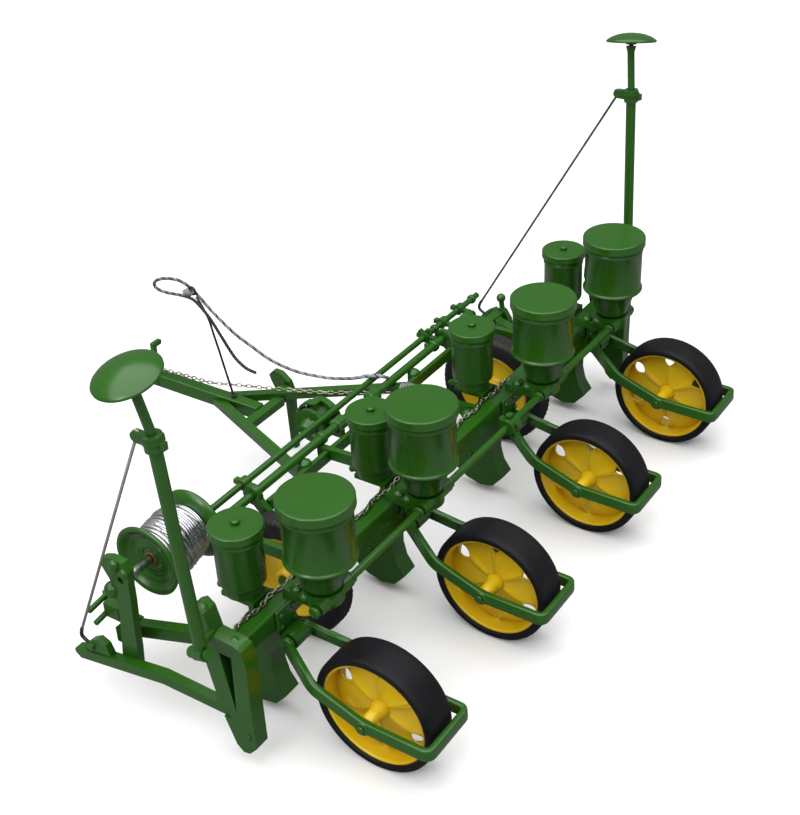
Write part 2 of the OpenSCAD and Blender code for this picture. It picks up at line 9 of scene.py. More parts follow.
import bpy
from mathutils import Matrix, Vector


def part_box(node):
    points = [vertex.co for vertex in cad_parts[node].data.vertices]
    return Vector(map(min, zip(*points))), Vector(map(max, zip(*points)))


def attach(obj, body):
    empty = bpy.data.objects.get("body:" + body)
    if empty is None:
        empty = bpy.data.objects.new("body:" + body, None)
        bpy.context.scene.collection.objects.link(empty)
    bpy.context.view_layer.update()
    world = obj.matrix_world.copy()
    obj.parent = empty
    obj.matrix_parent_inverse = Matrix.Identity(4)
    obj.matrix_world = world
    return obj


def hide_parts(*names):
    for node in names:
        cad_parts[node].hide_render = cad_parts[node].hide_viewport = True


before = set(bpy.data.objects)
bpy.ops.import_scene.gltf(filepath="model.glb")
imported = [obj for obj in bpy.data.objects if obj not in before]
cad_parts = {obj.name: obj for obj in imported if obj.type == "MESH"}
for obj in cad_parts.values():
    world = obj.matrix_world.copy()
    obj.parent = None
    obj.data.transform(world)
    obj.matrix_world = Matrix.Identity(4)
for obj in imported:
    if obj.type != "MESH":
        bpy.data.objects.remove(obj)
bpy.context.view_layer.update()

# %% The modules that the lesson uses
import math
import random

import bpy
from mathutils import Quaternion, Vector

MM = 0.001
scene = bpy.context.scene

# %% [markdown]
# ## Where things are
# The planter's drawing counts millimetres from the line through the four seed hoppers. One short
# function turns such a place into metres in the frame, so the numbers below stay readable.

# %% Drawing millimetres to frame metres
hopper_low, hopper_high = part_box("seed_hopper_1")
HOPPER_LINE = (hopper_low.y + hopper_high.y) / 2


def spot(x, y, z):
    return Vector((x * MM, HOPPER_LINE + y * MM, z * MM))


# Rods that run along X, as (y, z): their places in the drawing
FRONT_TUBE, CHECK_SHAFT, FEED_SHAFT = (52.5, 41), (58.5, 41.5), (-3.2, 47.7)
FORK_PIVOT, PRESS_AXLE = (7, 32.4), (-22, 19.7)


def middle(node):
    low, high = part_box(node)
    return (low + high) / 2


def x_of(node):
    """How far the node's middle lies to the right, in drawing millimetres."""
    return middle(node).x / MM


print("hopper line at y =", round(HOPPER_LINE, 5))

# %% [markdown]
# ## The camera
# A product view from behind the machine's left end and well above it. The camera is turned a few
# degrees about its own line of sight, because the model was not held quite level.

# %% Camera
AZIMUTH, ELEVATION, ROLL = (math.radians(a) for a in (-54.76, 32.6, -3.16))
towards_camera = Vector(
    (
        math.sin(AZIMUTH) * math.cos(ELEVATION),
        -math.cos(AZIMUTH) * math.cos(ELEVATION),
        math.sin(ELEVATION),
    )
)
camera = bpy.data.objects.new("camera", bpy.data.cameras.new("camera"))
scene.collection.objects.link(camera)
camera.location = spot(-321.8, -193.4, 299.7)
camera.rotation_mode = "QUATERNION"
camera.rotation_quaternion = (-towards_camera).to_track_quat("-Z", "Y") @ Quaternion(
    (0, 0, 1), ROLL
)
camera.data.lens = 61.5
camera.data.clip_start, camera.data.clip_end = 0.02, 20
scene.camera = camera
print("camera at", [round(c, 4) for c in camera.location])

# %% [markdown]
# ## A kit for making forms
# Most pieces are turned on a lathe, bent from bar or drawn as wire. `Form` collects the points and
# faces of such shapes: `skin` joins rows of points, `lathe` turns a profile about an axis, and
# `sweep` carries a section along a path. Several shapes in one form become one piece.


# %% Paths that bend smoothly
def smooth_path(points, per_span):
    """A Catmull-Rom curve through the points."""
    ends = [2 * points[0] - points[1], *points, 2 * points[-1] - points[-2]]
    found = []
    for a, b, c, d in zip(ends, ends[1:], ends[2:], ends[3:]):
        for k in range(per_span):
            t = k / per_span
            found.append(
                0.5
                * (
                    2 * b
                    + (c - a) * t
                    + (2 * a - 5 * b + 4 * c - d) * t**2
                    + (3 * b - a - 3 * c + d) * t**3
                )
            )
    return found + [points[-1].copy()]


def rounded_path(points, radius, steps=5):
    """Straight runs with each corner cut back by radius and rounded."""
    found = [points[0]]
    for a, b, c in zip(points, points[1:], points[2:]):
        cut = min(radius, (a - b).length * 0.45, (c - b).length * 0.45)
        start, end = b + (a - b).normalized() * cut, b + (c - b).normalized() * cut
        for k in range(steps + 1):
            t = k / steps
            found.append(start * (1 - t) ** 2 + 2 * b * t * (1 - t) + end * t**2)
    return found + [points[-1]]


def length_of(path):
    return sum((b - a).length for a, b in zip(path, path[1:]))


def travelling_axes(path, first_side=None):
    """At each point the way ahead and two axes across it that turn as little as possible."""
    count = len(path)
    side = None
    axes = []
    for k in range(count):
        ahead = (path[min(k + 1, count - 1)] - path[max(k - 1, 0)]).normalized()
        if side is None:
            side = first_side or (Vector((0, 0, 1)) if abs(ahead.z) < 0.9 else Vector((1, 0, 0)))
        side = (side - ahead * side.dot(ahead)).normalized()
        axes.append((ahead, side, ahead.cross(side)))
    return axes


# %% The form builder
class Form:
    def __init__(self):
        self.points, self.faces = [], []

    def skin(self, rows, around=True, caps=False, loop=False):
        """Quads between rows of points. around closes each row, loop joins last to first."""
        start, width = len(self.points), len(rows[0])
        for row in rows:
            self.points.extend(row)
        spans = range(len(rows) if loop else len(rows) - 1)
        for i in spans:
            a, b = start + i * width, start + (i + 1) % len(rows) * width
            for k in range(width if around else width - 1):
                n = (k + 1) % width
                self.faces.append((a + k, a + n, b + n, b + k))
        if caps:
            self.faces.append(tuple(start + k for k in reversed(range(width))))
            last = start + (len(rows) - 1) * width
            self.faces.append(tuple(last + k for k in range(width)))
        return self

    def lathe(self, profile, centre, axis=(0, 0, 1), steps=64, loop=False):
        """profile is (radius, height along the axis) in millimetres. Radius 0 closes an end."""
        turn = Vector((0, 0, 1)).rotation_difference(Vector(axis).normalized())
        rows = []
        for radius, height in profile:
            rows.append(
                [
                    centre
                    + turn
                    @ Vector(
                        (
                            max(radius, 0.001) * MM * math.cos(2 * math.pi * k / steps),
                            max(radius, 0.001) * MM * math.sin(2 * math.pi * k / steps),
                            height * MM,
                        )
                    )
                    for k in range(steps)
                ]
            )
        return self.skin(rows, loop=loop)

    def sweep(self, path, section, first_side=None, caps=True, loop=False):
        """section is a list of (across, up) offsets in millimetres."""
        rows = []
        for p, (_, side, up) in zip(path, travelling_axes(path, first_side)):
            rows.append([p + (side * u + up * v) * MM for u, v in section])
        return self.skin(rows, caps=caps and not loop, loop=loop)

    def rod(self, a, b, radius, steps=20, soft=0.25):
        """A round bar from a to b with softened ends."""
        long = (b - a).length / MM
        soft = min(soft, radius * 0.6, long * 0.4)
        profile = [
            (0, 0), (radius - soft, 0), (radius - soft * 0.3, soft * 0.3), (radius, soft),
            (radius, long - soft), (radius - soft * 0.3, long - soft * 0.3),
            (radius - soft, long), (0, long),
        ]
        return self.lathe(profile, a, b - a, steps)

    def hexagon(self, centre, axis, across, tall):
        """A bolt head or nut: six flats with a chamfered crown."""
        r = across / math.sqrt(3)
        profile = [(0, 0), (r, 0), (r, tall * 0.75), (r * 0.8, tall), (0, tall)]
        return self.lathe(profile, centre, axis, 6)

    def block(self, low, high):
        """A plain block between two corners; soften() rounds it."""
        x0, y0, z0 = low
        x1, y1, z1 = high
        rows = [
            [Vector(c) for c in ((x0, y0, z), (x1, y0, z), (x1, y1, z), (x0, y1, z))]
            for z in (z0, z1)
        ]
        return self.skin(rows, caps=True)


def circle_section(radius, sides=12):
    return [
        (radius * math.cos(2 * math.pi * k / sides), radius * math.sin(2 * math.pi * k / sides))
        for k in range(sides)
    ]


def bar_section(wide, tall, corner):
    """A rectangle with rounded corners, for bent flat bar."""
    found = []
    for quarter, (sx, sy) in enumerate(((1, 1), (-1, 1), (-1, -1), (1, -1))):
        for k in range(4):
            a = math.radians(90 * quarter + 30 * k)
            found.append(
                (
                    sx * (wide / 2 - corner) + corner * math.cos(a),
                    sy * (tall / 2 - corner) + corner * math.sin(a),
                )
            )
    return found


print("forms ready")


# %% From a form to a piece
def make(name, form, finish, body, stands_for=(), smooth=True):
    mesh = bpy.data.meshes.new(name)
    mesh.from_pydata([tuple(p) for p in form.points], [], form.faces)
    mesh.polygons.foreach_set("use_smooth", [smooth] * len(mesh.polygons))
    mesh.materials.append(finish)
    mesh.update()
    piece = bpy.data.objects.new(name, mesh)
    scene.collection.objects.link(piece)
    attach(piece, body)
    if stands_for:
        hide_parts(*stands_for)
    return piece


def soften(piece, width, segments=2, angle=32):
    """Rounds the hard edges, as thick paint over a casting does."""
    weld = piece.modifiers.new("weld", "WELD")
    weld.merge_threshold = 0.000005
    bevel = piece.modifiers.new("round", "BEVEL")
    bevel.width = width * MM
    bevel.segments = segments
    bevel.limit_method = "ANGLE"
    bevel.angle_limit = math.radians(angle)
    bevel.use_clamp_overlap = True
    normals = piece.modifiers.new("normals", "WEIGHTED_NORMAL")
    normals.keep_sharp = False
    return piece


print("piece maker ready")

# %% [markdown]
# ## Surface effects that several finishes share
# Thick enamel is never quite even: it has a faint orange-peel and thins to a lighter tone in random
# patches. Its corners and crevices also get painted shade, a darker colour where shade falls. One
# node group gives those three to both the green and the yellow paint. A second group gives the fine
# grain of rubber, cord and drawn metal.


# %% Small helpers for nodes
def link(tree, out, into):
    tree.links.new(out, into)


# A colour Mix node numbers its colour sockets after those for plain numbers and vectors
MIX_A, MIX_B, MIX_RESULT = 6, 7, 2


def node_of(tree, kind, **values):
    node = tree.nodes.new(kind)
    for key, value in values.items():
        setattr(node, key, value)
    return node


def new_group(name, inputs):
    tree = bpy.data.node_groups.new(name, "ShaderNodeTree")
    for label, kind, default in inputs:
        socket = tree.interface.new_socket(label, in_out="INPUT", socket_type=kind)
        socket.default_value = default
    tree.interface.new_socket("Colour", in_out="OUTPUT", socket_type="NodeSocketColor")
    tree.interface.new_socket("Roughness", in_out="OUTPUT", socket_type="NodeSocketFloat")
    tree.interface.new_socket("Normal", in_out="OUTPUT", socket_type="NodeSocketVector")
    return tree, tree.nodes.new("NodeGroupInput"), tree.nodes.new("NodeGroupOutput")


# %% The paint skin group
def build_paint_skin():
    tree, given, result = new_group(
        "paint skin",
        [
            ("Paint", "NodeSocketColor", (0.05, 0.18, 0.03, 1)),
            ("Painted corner shade", "NodeSocketColor", (0.01, 0.05, 0.01, 1)),
            ("Thin", "NodeSocketColor", (0.10, 0.28, 0.06, 1)),
            ("Gloss low", "NodeSocketFloat", 0.16),
            ("Gloss high", "NodeSocketFloat", 0.34),
            ("Peel", "NodeSocketFloat", 0.04),
        ],
    )
    place = node_of(tree, "ShaderNodeTexCoord")
    cloud = node_of(tree, "ShaderNodeTexNoise")
    cloud.inputs["Scale"].default_value = 70
    cloud.inputs["Detail"].default_value = 2
    link(tree, place.outputs["Object"], cloud.inputs["Vector"])
    peel = node_of(tree, "ShaderNodeTexNoise")
    peel.inputs["Scale"].default_value = 620
    peel.inputs["Detail"].default_value = 2
    link(tree, place.outputs["Object"], peel.inputs["Vector"])

    # Painted shade: ambient occlusion mixes a darker colour into corners and crevices, where shade
    # falls.
    corner = node_of(tree, "ShaderNodeAmbientOcclusion", samples=4)
    corner.inputs["Distance"].default_value = 0.006
    depth = node_of(tree, "ShaderNodeMapRange")
    depth.inputs["From Min"].default_value = 0.25
    depth.inputs["From Max"].default_value = 0.85
    link(tree, corner.outputs["AO"], depth.inputs["Value"])
    painted_corner_shade = node_of(tree, "ShaderNodeMix", data_type="RGBA")
    link(tree, depth.outputs["Result"], painted_corner_shade.inputs["Factor"])
    link(tree, given.outputs["Painted corner shade"], painted_corner_shade.inputs[MIX_A])
    link(tree, given.outputs["Paint"], painted_corner_shade.inputs[MIX_B])

    thin_where = node_of(tree, "ShaderNodeMapRange")
    thin_where.inputs["From Min"].default_value = 0.45
    thin_where.inputs["From Max"].default_value = 0.85
    thin_where.inputs["To Max"].default_value = 0.16
    link(tree, cloud.outputs["Fac"], thin_where.inputs["Value"])
    toned = node_of(tree, "ShaderNodeMix", data_type="RGBA")
    link(tree, thin_where.outputs["Result"], toned.inputs["Factor"])
    link(tree, painted_corner_shade.outputs[MIX_RESULT], toned.inputs[MIX_A])
    link(tree, given.outputs["Thin"], toned.inputs[MIX_B])
    link(tree, toned.outputs[MIX_RESULT], result.inputs["Colour"])

    gloss = node_of(tree, "ShaderNodeMapRange")
    link(tree, cloud.outputs["Fac"], gloss.inputs["Value"])
    link(tree, given.outputs["Gloss low"], gloss.inputs["To Min"])
    link(tree, given.outputs["Gloss high"], gloss.inputs["To Max"])
    link(tree, gloss.outputs["Result"], result.inputs["Roughness"])

    bump = node_of(tree, "ShaderNodeBump")
    bump.inputs["Distance"].default_value = 0.00025
    link(tree, given.outputs["Peel"], bump.inputs["Strength"])
    link(tree, peel.outputs["Fac"], bump.inputs["Height"])
    link(tree, bump.outputs["Normal"], result.inputs["Normal"])
    return tree


paint_skin = build_paint_skin()
print("group:", paint_skin.name)


# %% The fine grain group
def build_fine_grain():
    tree, given, result = new_group(
        "fine grain",
        [
            ("Light", "NodeSocketColor", (0.05, 0.05, 0.05, 1)),
            ("Dark", "NodeSocketColor", (0.01, 0.01, 0.01, 1)),
            ("Grain size", "NodeSocketFloat", 1500.0),
            ("Rough low", "NodeSocketFloat", 0.4),
            ("Rough high", "NodeSocketFloat", 0.6),
            ("Depth", "NodeSocketFloat", 0.2),
        ],
    )
    place = node_of(tree, "ShaderNodeTexCoord")
    grain = node_of(tree, "ShaderNodeTexNoise")
    grain.inputs["Detail"].default_value = 4
    link(tree, place.outputs["Object"], grain.inputs["Vector"])
    link(tree, given.outputs["Grain size"], grain.inputs["Scale"])
    patch = node_of(tree, "ShaderNodeTexNoise")
    patch.inputs["Scale"].default_value = 120
    link(tree, place.outputs["Object"], patch.inputs["Vector"])
    both = node_of(tree, "ShaderNodeMath", operation="MULTIPLY_ADD")
    both.inputs[1].default_value = 0.5
    link(tree, grain.outputs["Fac"], both.inputs[0])
    half = node_of(tree, "ShaderNodeMath", operation="MULTIPLY")
    half.inputs[1].default_value = 0.5
    link(tree, patch.outputs["Fac"], half.inputs[0])
    link(tree, half.outputs[0], both.inputs[2])
    spread = node_of(tree, "ShaderNodeMapRange")
    spread.inputs["From Min"].default_value = 0.35
    spread.inputs["From Max"].default_value = 0.65
    link(tree, both.outputs[0], spread.inputs["Value"])
    colour = node_of(tree, "ShaderNodeMix", data_type="RGBA")
    link(tree, spread.outputs["Result"], colour.inputs["Factor"])
    link(tree, given.outputs["Dark"], colour.inputs[MIX_A])
    link(tree, given.outputs["Light"], colour.inputs[MIX_B])
    link(tree, colour.outputs[MIX_RESULT], result.inputs["Colour"])
    rough = node_of(tree, "ShaderNodeMapRange")
    link(tree, spread.outputs["Result"], rough.inputs["Value"])
    link(tree, given.outputs["Rough low"], rough.inputs["To Min"])
    link(tree, given.outputs["Rough high"], rough.inputs["To Max"])
    link(tree, rough.outputs["Result"], result.inputs["Roughness"])
    bump = node_of(tree, "ShaderNodeBump")
    bump.inputs["Distance"].default_value = 0.0001
    link(tree, given.outputs["Depth"], bump.inputs["Strength"])
    link(tree, grain.outputs["Fac"], bump.inputs["Height"])
    link(tree, bump.outputs["Normal"], result.inputs["Normal"])
    return tree


fine_grain = build_fine_grain()
print("group:", fine_grain.name)

# %% [markdown]
# ## The finishes
# Each finish is one Principled shader that takes colour, roughness and normal from a group and sets
# the rest, such as metal or clear coat, on its own sockets.


# %% One function for every finish
def finish_from(name, group, values, **shader_values):
    material = bpy.data.materials.new(name)
    material.use_nodes = True
    tree = material.node_tree
    shader = tree.nodes["Principled BSDF"]
    skin = node_of(tree, "ShaderNodeGroup", node_tree=group)
    for label, value in values.items():
        skin.inputs[label].default_value = value
    link(tree, skin.outputs["Colour"], shader.inputs["Base Color"])
    link(tree, skin.outputs["Roughness"], shader.inputs["Roughness"])
    link(tree, skin.outputs["Normal"], shader.inputs["Normal"])
    for label, value in shader_values.items():
        shader.inputs[label.replace("_", " ")].default_value = value
    return material


# %% Paints
green_enamel = finish_from(
    "green enamel",
    paint_skin,
    {
        "Paint": (0.017, 0.096, 0.0035, 1),
        # the darker green below is painted shade for corners and crevices
        "Painted corner shade": (0.004, 0.036, 0.001, 1),
        "Thin": (0.028, 0.125, 0.008, 1),
        "Gloss low": 0.22,
        "Gloss high": 0.32,
        "Peel": 0.01,
    },
    Coat_Weight=0.15,
    Coat_Roughness=0.08,
)
yellow_enamel = finish_from(
    "yellow enamel",
    paint_skin,
    {
        "Paint": (0.78, 0.52, 0.006, 1),
        # the darker yellow below is painted shade for corners and crevices
        "Painted corner shade": (0.50, 0.27, 0.002, 1),
        "Thin": (0.86, 0.62, 0.03, 1),
        "Gloss low": 0.24,
        "Gloss high": 0.38,
        "Peel": 0.03,
    },
    Coat_Weight=0.15,
    Coat_Roughness=0.12,
)

# %% Rubber, metal, cord
def grainy(name, light, dark, grain, rough, depth, **shader_values):
    """A finish with two mixed tones; rough is the lowest and highest roughness."""
    values = {"Light": (*light, 1), "Dark": (*dark, 1), "Grain size": grain, "Depth": depth}
    values["Rough low"], values["Rough high"] = rough
    return finish_from(name, fine_grain, values, **shader_values)


def rope_finish(name, light, dark):
    light_tone = (light, light * 1.03, light * 1.10)
    dark_tone = (dark, dark * 1.04, dark * 1.12)
    return grainy(name, light_tone, dark_tone, 2600, (0.40, 0.60), 0.3, Sheen_Weight=0.1)


press_rubber = grainy(
    "smooth rubber", (0.010, 0.010, 0.013), (0.005, 0.005, 0.006), 900, (0.42, 0.54), 0.08,
    Specular_IOR_Level=0.18,
)  # fmt: skip
tread_rubber = grainy(
    "tread rubber", (0.016, 0.016, 0.018), (0.006, 0.006, 0.007), 1500, (0.45, 0.65), 0.3,
    Specular_IOR_Level=0.35,
)  # fmt: skip
bright_wire = grainy(
    "bright wire", (0.80, 0.80, 0.83), (0.45, 0.45, 0.48), 1800, (0.18, 0.38), 0.12,
    Metallic=1.0,
)  # fmt: skip
# Painted reflection: a pale, almost non-metallic colour stands in for the bright shine of a metal
# wire.
wire_painted_reflection = grainy(
    "wire with painted reflection", (0.52, 0.50, 0.44), (0.34, 0.32, 0.27), 900, (0.35, 0.50), 0.1, Metallic=0.15
)
dull_wire = grainy(
    "dull wire", (0.46, 0.46, 0.45), (0.16, 0.16, 0.16), 900, (0.30, 0.50), 0.1, Metallic=1.0
)
black_wire = grainy(
    "black wire", (0.020, 0.022, 0.022), (0.008, 0.009, 0.009), 1600, (0.35, 0.50), 0.1
)
chain_metal = grainy(
    "plated chain", (0.66, 0.61, 0.50), (0.14, 0.12, 0.09), 1400, (0.20, 0.42), 0.2,
    Metallic=1.0,
)  # fmt: skip
hub_rust = grainy(
    "bare brown hub", (0.30, 0.12, 0.05), (0.12, 0.04, 0.02), 1500, (0.40, 0.65), 0.3
)
rope_pale = rope_finish("pale rope fibre", 0.42, 0.10)
rope_dark = rope_finish("dark rope fibre", 0.09, 0.02)
rope_black = rope_finish("black rope fibre", 0.018, 0.006)
print("finishes:", [m.name for m in bpy.data.materials])

# %% [markdown]
# ## The pull rope
# A thin rope trips the planter's clutch from the tractor's seat. It is tied on the front tube,
# climbs to a wire stand on the tongue, makes a small loop and hangs down in a short tail. Three
# strands are laid round one centreline, so it reads as rope from close by: two pale strands and a
# dark one on the main run, one pale and two dark over the loop, and all black on the tail.

# %% The rope's route
ROPE_ROUTE = [
    (20, 52.5, 43.2), (18.4, 55.8, 43.8), (16.9, 59.2, 43.5), (16.1, 63, 42.2), (15.5, 67.4, 40.8),
    (14.8, 74.8, 39.2), (13.7, 81, 39), (12.4, 86.8, 39.4), (11, 92.9, 40.9), (9.4, 98.5, 43.6),
    (7.6, 103.8, 47.8), (5.8, 108.7, 52), (4.2, 112.5, 56.5), (2.6, 116.8, 61.9),
    (1.7, 120.8, 66.8), (1.2, 124.1, 69.8), (0.6, 127.8, 71.8), (0, 132.3, 72), (-0.2, 137, 70.8),
    (-0.3, 140.2, 68.6), (-0.4, 139.4, 66.5), (-0.5, 135.3, 66), (-0.8, 130.4, 66.6),
    (-1.1, 125.4, 67.2), (-1.3, 121.2, 67), (-1.5, 117.9, 65.2), (-1.7, 113.4, 61),
    (-2, 108.8, 55), (-2, 105.8, 50.7), (-2, 103.2, 47.6), (-2, 99.1, 45.1), (-2, 94.7, 44.4),
]  # fmt: skip
ROPE_THICK = 1.3
PER_SPAN = 12
LOOP_STARTS, TAIL_STARTS = 15 * PER_SPAN, 23 * PER_SPAN
rope_line = smooth_path([spot(*p) for p in ROPE_ROUTE], PER_SPAN)
print("rope length", round(length_of(rope_line), 4))


# %% Strands laid round a line
SIDES = 8


def laid_strands(form, path, thick, lay, strands=3):
    """Each strand winds round the line once in every lay millimetres."""
    strand_r = thick * 0.27
    away = thick / 2 - strand_r
    axes = travelling_axes(path)
    for n in range(strands):
        travelled, line = 0.0, []
        for k, p in enumerate(path):
            if k:
                travelled += (p - path[k - 1]).length / MM
            a = 2 * math.pi * (travelled / lay + n / strands)
            _, side, up = axes[k]
            line.append(p + (side * math.cos(a) + up * math.sin(a)) * away * MM)
        form.sweep(line, circle_section(strand_r, SIDES))
    return form


def rope_piece(name, form, finish, stands_for=()):
    return make(name, form, finish, "frame", stands_for)


rope = rope_piece(
    "pull_rope_strands", laid_strands(Form(), rope_line, ROPE_THICK, 3.6), rope_pale,
    ["pull_rope"],
)  # fmt: skip
rope.data.materials.append(rope_dark)
rope.data.materials.append(rope_black)
faces_per_strand = (len(rope_line) - 1) * SIDES + 2
for index, face in enumerate(rope.data.polygons):
    strand, along = divmod(index, faces_per_strand)
    step = along // SIDES
    if step >= TAIL_STARTS:
        face.material_index = 2
    elif step >= LOOP_STARTS:
        face.material_index = 1 if strand else 0
    else:
        face.material_index = 1 if strand == 2 else 0


# %% The knot below the eye and the whipping at the hitch
def coil(form, line, radius, wire, pitch):
    """A close helix of wire round a line."""
    axes = travelling_axes(line)
    travelled, found = 0.0, []
    for k, p in enumerate(line):
        if k:
            travelled += (p - line[k - 1]).length / MM
        a = 2 * math.pi * travelled / pitch
        _, side, up = axes[k]
        found.append(p + (side * math.cos(a) + up * math.sin(a)) * radius * MM)
    return form.sweep(found, circle_section(wire, 7))


def straight(a, b, count):
    return [a.lerp(b, k / (count - 1)) for k in range(count)]


knot_line = straight(spot(0, 122.4, 69.6), spot(0, 125.6, 67.6), 70)
knot = coil(Form(), knot_line, 1.15, 0.5, 1.15)
knot.lathe(
    [(0, -1.4), (0.9, -1.1), (1.2, 0), (0.9, 1.1), (0, 1.4)], spot(0, 124, 68.6),
    (0, 3.2, -2.0), 20,
)  # fmt: skip
rope_piece("pull_rope_knot", knot, rope_pale)
hitch = coil(Form(), rope_line[4:42], 0.72, 0.34, 0.72)
coil(hitch, straight(spot(22, 47.6, 38.9), spot(22, 43.4, 39), 90), 2.45, 0.42, 0.95)
rope_piece("pull_rope_hitch", hitch, rope_pale)

# %% The wire stand and its eye
STAND_ROUTE = [
    (0, 108.6, 28.9), (0, 110.1, 35.2), (0, 111.6, 41.5), (0, 113, 47.6), (0, 114.5, 53.5),
    (0, 115.9, 59.3), (0, 118.3, 64.3), (0, 120.6, 67.6),
]  # fmt: skip
stand_form = Form().sweep(
    smooth_path([spot(*p) for p in STAND_ROUTE], 5), circle_section(0.42, 10)
)
stand_form.rod(spot(0, 108.5, 28.7), spot(0, 108.7, 29.9), 1.0, 14)
EYE_R = 1.45
eye = [
    spot(0, 122.2 + EYE_R * math.cos(a), 69.6 + EYE_R * math.sin(a))
    for a in (2 * math.pi * k / 28 for k in range(28))
]
stand_form.sweep(eye, circle_section(0.42, 9), first_side=Vector((1, 0, 0)), loop=True)
make("rope_stand_wire", stand_form, black_wire, "frame", ["rope_stand"])

# %% [markdown]
# ## Hoppers and lids
# Both kinds of hopper are spun sheet on the real machine, and plain turned castings on the model. A
# lathe profile with a point at every change of curve gives the rolled lid edge, the bead below it
# and the flange over the cone.


# %% Seed hoppers
def seed_hopper_profile(floor, rim, r):
    return [
        (4.4, floor), (5.2, floor), (5.8, floor + 1.6), (8.6, floor + 10.0), (9.1, floor + 10.3),
        (r + 0.3, floor + 10.35), (r + 0.5, floor + 10.6), (r + 0.53, floor + 10.95),
        (r + 0.36, floor + 11.3), (r, floor + 11.5), (r - 0.1, floor + 12), (r, rim - 4.1),
        (r + 0.22, rim - 3.85), (r + 0.3, rim - 3.5), (r + 0.22, rim - 3.1), (r, rim - 2.85),
        (r, rim), (r - 0.7, rim), (r - 0.7, floor + 12), (8.0, floor + 11), (4.9, floor + 1.9),
        (4.4, floor + 1.2), (4.4, floor),
    ]  # fmt: skip


def lid_profile(under, top, r_in, r_out, roll, skirt):
    """A shallow cap: a flat top, a rolled shoulder and a skirt with a small lip."""
    shoulder = [
        (
            r_out - roll + roll * math.sin(math.radians(a)),
            top - roll + roll * math.cos(math.radians(a)),
        )
        for a in range(0, 91, 15)
    ]
    return [
        (0, top + 0.02), (r_out * 0.5, top + 0.01), (r_out - roll - 0.4, top), *shoulder,
        (r_out, under - skirt + 0.5), (r_out + 0.05, under - skirt + 0.25),
        (r_out - 0.1, under - skirt), (r_in, under - skirt), (r_in, under), (0, under),
    ]  # fmt: skip


for n in (1, 2, 3, 4):
    low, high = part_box(f"seed_hopper_{n}")
    centre = Vector(((low.x + high.x) / 2, (low.y + high.y) / 2, 0))
    floor, rim = low.z / MM, high.z / MM
    form = Form().lathe(seed_hopper_profile(floor, rim, 10.2), centre, steps=80)
    make(f"seed_can_{n}", form, green_enamel, "frame", [f"seed_hopper_{n}"])
    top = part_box(f"seed_lid_{n}")[1].z / MM
    form = Form().lathe(lid_profile(rim, top, 10.5, 11.1, 0.55, 1.9), centre, steps=80)
    make(
        f"seed_cap_{n}", form, green_enamel, f"seed_cover_{n}", [f"seed_lid_{n}"]
    )
print("seed hoppers done")


# %% Fertilizer hoppers
def fert_hopper_profile(floor, rim, r):
    return [
        (0, floor), (r - 2.2, floor), (r - 1.2, floor + 0.15), (r - 0.4, floor + 0.7),
        (r - 0.1, floor + 1.5), (r - 0.1, rim - 4), (r, rim - 3.8), (r + 0.2, rim - 3.5),
        (r + 0.24, rim - 3.1), (r + 0.15, rim - 2.8), (r, rim - 2.6), (r, rim), (r - 0.7, rim),
        (r - 0.8, floor + 1.6), (0, floor + 1.3),
    ]  # fmt: skip


def knob_profile(top):
    return [
        (1.25, top - 0.1), (1.3, top + 0.1), (1.15, top + 0.35), (1.25, top + 0.6),
        (1.3, top + 0.85), (1.1, top + 1.1), (0.6, top + 1.2), (0, top + 1.2),
    ]  # fmt: skip


for n in (1, 2, 3, 4):
    low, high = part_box(f"fert_hopper_{n}")
    centre = Vector(((low.x + high.x) / 2, (low.y + high.y) / 2, 0))
    floor, rim = low.z / MM, high.z / MM
    form = Form().lathe(fert_hopper_profile(floor, rim, 7.2), centre, steps=72)
    make(f"fert_can_{n}", form, green_enamel, "frame", [f"fert_hopper_{n}"])
    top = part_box(f"fert_lid_{n}")[1].z / MM - 1.2
    form = Form().lathe(lid_profile(rim, top, 7.5, 8.05, 0.45, 1.4), centre, steps=72)
    form.lathe(knob_profile(top), centre, steps=32)
    make(
        f"fert_cap_{n}", form, green_enamel, f"fert_cover_{n}", [f"fert_lid_{n}"]
    )
print("fertilizer hoppers done")

# %% [markdown]
# ## Press wheels
# Each row ends in a narrow wheel: a smooth black band on a yellow pressed wheel with six broad
# petals. Between the petals the disc is open near the rim. Each petal is its own strip of faces
# whose sides draw in over the window, and a Solidify modifier gives the sheet its thickness.


# %% The petal disc
def petal_disc(centre, hub_r, rim_r, petals=6, around=16, outwards=20):
    form = Form()
    share = math.pi / petals
    for n in range(petals):
        rows = []
        for i in range(outwards + 1):
            f = i / outwards
            r = hub_r + (rim_r - hub_r) * f
            window = max(0.0, min(1.0, (f - 0.60) / 0.36))
            narrow = 0.28 * math.sin(math.pi * window) ** 0.6 if 0 < window < 1 else 0
            half = share * (1 - narrow)
            row = []
            for j in range(around + 1):
                t = 2 * j / around - 1
                a = 2 * share * n + half * t
                crease = 1.1 * abs(t) ** 3 * math.sin(math.pi * min(1.0, f)) ** 0.6
                dish = 1.5 * (1 - f) ** 1.5
                out = -(dish + crease - 0.5) * MM
                row.append(centre + Vector((out, r * MM * math.cos(a), r * MM * math.sin(a))))
            rows.append(row)
        form.skin(rows, around=False)
    return form


def press_rim_profile(r, half):
    return [
        (r, -half), (r - 0.35, -half - 0.15), (r - 0.8, -half), (r - 0.9, -half + 0.5),
        (r - 0.9, half - 0.5), (r - 0.8, half), (r - 0.35, half + 0.15), (r, half), (r, -half),
    ]  # fmt: skip


HUB_PROFILE = [
    (1.25, -8.4), (1.8, -8.4), (2.1, -8.1), (2.1, -4.0), (2.5, -3.2), (3.0, -1.6), (3.0, 1.6),
    (2.5, 3.2), (2.1, 4.0), (2.1, 8.1), (1.8, 8.4), (1.25, 8.4), (1.25, -8.4),
]  # fmt: skip


